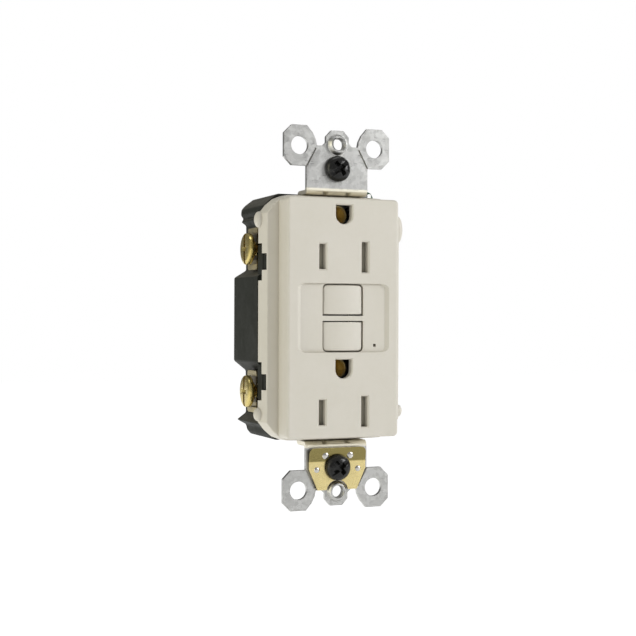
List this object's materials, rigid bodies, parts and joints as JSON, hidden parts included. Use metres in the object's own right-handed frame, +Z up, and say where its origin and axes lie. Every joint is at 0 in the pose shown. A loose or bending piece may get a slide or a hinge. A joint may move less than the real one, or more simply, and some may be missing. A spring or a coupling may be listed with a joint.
{
  "type": "gfci outlet",
  "caption": "Duplex grounded wall outlet with ground fault protection: rectangular face, test and reset buttons, shuttered slots, steel strap with break-off ears, side terminals.",
  "frame": {"origin": "middle of the strap's rear seating plane, midway between the two mounting screws", "axes": "+X to the right seen from the front, +Y into the wall, +Z up"},
  "size_m": [0.0454, 0.032, 0.1068],
  "materials": {
    "almond_plastic": "satin moulded",
    "almond_button": "satin moulded",
    "charcoal_plastic": "fine matte texture",
    "dark_plastic": "matte",
    "grey_plastic": "matte",
    "galvanized_steel": "dull zinc plating",
    "steel": "plain",
    "black_steel": "black oxide, oiled",
    "green_steel": "green plating",
    "nickel_plate": "bright plating",
    "brass": "bright",
    "dull_brass": "dull",
    "bronze": "dull",
    "copper_winding": "enamelled wire",
    "spring_steel": "drawn",
    "fibre": "pressed fibre",
    "circuit_board": "solder mask",
    "black_epoxy": "moulded",
    "blue_epoxy": "dipped",
    "amber_epoxy": "dipped",
    "lamp_clear": "clear moulded"
  },
  "bodies": {
    "case": {"front_cover": "almond_plastic", "rear_housing": "charcoal_plastic", "separator": "dark_plastic", "case_screw_upper_left": "steel", "case_screw_upper_right": "steel", "case_screw_lower_left": "steel", "case_screw_lower_right": "steel", "mounting_strap": "galvanized_steel", "grounding_clip": "brass", "retaining_washer_upper": "fibre", "retaining_washer_lower": "fibre", "hot_contact_strip": "brass", "neutral_contact_strip": "brass", "load_hot_terminal": "brass", "line_hot_terminal": "brass", "load_neutral_terminal": "brass", "line_neutral_terminal": "brass", "upper_ground_contact": "bronze", "lower_ground_contact": "bronze", "upper_shutter_spring": "spring_steel", "lower_shutter_spring": "spring_steel", "test_spring": "spring_steel", "reset_spring": "spring_steel", "plunger_spring": "spring_steel", "solenoid_coil": "copper_winding", "solenoid_frame": "galvanized_steel", "circuit_board": "circuit_board", "sense_coil": "copper_winding", "neutral_sense_coil": "copper_winding", "surge_varistor": "blue_epoxy", "filter_capacitor": "amber_epoxy", "controller_chip": "black_epoxy", "thyristor": "black_epoxy", "test_resistor": "amber_epoxy", "indicator_lamp": "lamp_clear", "light_pipe": "lamp_clear", "test_contact_blade": "brass"},
    "test_button": {"test_button": "almond_button"},
    "reset_button": {"reset_button": "almond_button", "reset_pin": "steel"},
    "upper_shutter": {"upper_shutter": "grey_plastic"},
    "lower_shutter": {"lower_shutter": "grey_plastic"},
    "latch": {"latch_plate": "steel", "solenoid_plunger": "steel"},
    "contact_carriage": {"contact_carriage": "dark_plastic", "hot_contact_arm": "brass", "neutral_contact_arm": "brass"},
    "mounting_screw_upper": {"mounting_screw_upper": "black_steel"},
    "mounting_screw_lower": {"mounting_screw_lower": "black_steel"},
    "ground_screw": {"ground_screw": "green_steel"},
    "load_hot_clamp": {"load_hot_clamp": "dull_brass"},
    "load_hot_screw": {"load_hot_screw": "brass"},
    "line_hot_clamp": {"line_hot_clamp": "dull_brass"},
    "line_hot_screw": {"line_hot_screw": "brass"},
    "load_neutral_clamp": {"load_neutral_clamp": "dull_brass"},
    "load_neutral_screw": {"load_neutral_screw": "nickel_plate"},
    "line_neutral_clamp": {"line_neutral_clamp": "dull_brass"},
    "line_neutral_screw": {"line_neutral_screw": "nickel_plate"}
  },
  "joints": [
    {"name": "test_press", "type": "slide", "parent": "case", "child": "test_button", "axis": [0, 1, 0], "range_m": [0, 0.0012], "stiffness_N_per_m": 300, "deforming": ["test_spring"]},
    {"name": "reset_press", "type": "slide", "parent": "case", "child": "reset_button", "axis": [0, 1, 0], "range_m": [0, 0.0016], "stiffness_N_per_m": 300, "deforming": ["reset_spring"]},
    {"name": "upper_shutter_slide", "type": "slide", "parent": "case", "child": "upper_shutter", "axis": [1, 0, 0], "range_m": [0, 0.0022], "stiffness_N_per_m": 80, "deforming": ["upper_shutter_spring"]},
    {"name": "lower_shutter_slide", "type": "slide", "parent": "case", "child": "lower_shutter", "axis": [1, 0, 0], "range_m": [0, 0.0022], "stiffness_N_per_m": 80, "deforming": ["lower_shutter_spring"]},
    {"name": "latch_slide", "type": "slide", "parent": "case", "child": "latch", "axis": [0, 0, 1], "range_m": [0, 0.0016], "stiffness_N_per_m": 60, "deforming": ["plunger_spring"]},
    {"name": "carriage_slide", "type": "slide", "parent": "case", "child": "contact_carriage", "axis": [0, 1, 0], "range_m": [0, 0.0016]},
    {"name": "load_hot_clamp_slide", "type": "slide", "parent": "case", "child": "load_hot_clamp", "axis": [-1, 0, 0], "range_m": [0, 0.0015]},
    {"name": "load_hot_screw_turn", "type": "hinge", "parent": "load_hot_clamp", "child": "load_hot_screw", "pos_m": [-0.0209, 0.0126, 0.01945], "axis": [-1, 0, 0], "range_deg": [0, 680]},
    {"name": "line_hot_clamp_slide", "type": "slide", "parent": "case", "child": "line_hot_clamp", "axis": [-1, 0, 0], "range_m": [0, 0.0015]},
    {"name": "line_hot_screw_turn", "type": "hinge", "parent": "line_hot_clamp", "child": "line_hot_screw", "pos_m": [-0.0209, 0.0126, -0.0208], "axis": [-1, 0, 0], "range_deg": [0, 680]},
    {"name": "load_neutral_clamp_slide", "type": "slide", "parent": "case", "child": "load_neutral_clamp", "axis": [1, 0, 0], "range_m": [0, 0.0015]},
    {"name": "load_neutral_screw_turn", "type": "hinge", "parent": "load_neutral_clamp", "child": "load_neutral_screw", "pos_m": [0.0209, 0.0126, 0.01945], "axis": [1, 0, 0], "range_deg": [0, 680]},
    {"name": "line_neutral_clamp_slide", "type": "slide", "parent": "case", "child": "line_neutral_clamp", "axis": [1, 0, 0], "range_m": [0, 0.0015]},
    {"name": "line_neutral_screw_turn", "type": "hinge", "parent": "line_neutral_clamp", "child": "line_neutral_screw", "pos_m": [0.0209, 0.0126, -0.0208], "axis": [1, 0, 0], "range_deg": [0, 680]},
    {"name": "mounting_screw_upper_turn", "type": "hinge", "parent": "case", "child": "mounting_screw_upper", "pos_m": [0, 0, 0.04167], "axis": [0, 1, 0], "continuous": true},
    {"name": "mounting_screw_lower_turn", "type": "hinge", "parent": "case", "child": "mounting_screw_lower", "pos_m": [0, 0, -0.04167], "axis": [0, 1, 0], "continuous": true},
    {"name": "ground_screw_turn", "type": "hinge", "parent": "case", "child": "ground_screw", "pos_m": [0.0131, 0.0096, 0.0327], "axis": [1, 0, 0], "continuous": true}
  ],
  "couplings": [
    {"joint": "load_hot_screw_turn", "follows": "load_hot_clamp_slide", "rad_per_m": 7912.1},
    {"joint": "line_hot_screw_turn", "follows": "line_hot_clamp_slide", "rad_per_m": 7912.1},
    {"joint": "load_neutral_screw_turn", "follows": "load_neutral_clamp_slide", "rad_per_m": 7912.1},
    {"joint": "line_neutral_screw_turn", "follows": "line_neutral_clamp_slide", "rad_per_m": 7912.1}
  ]
}
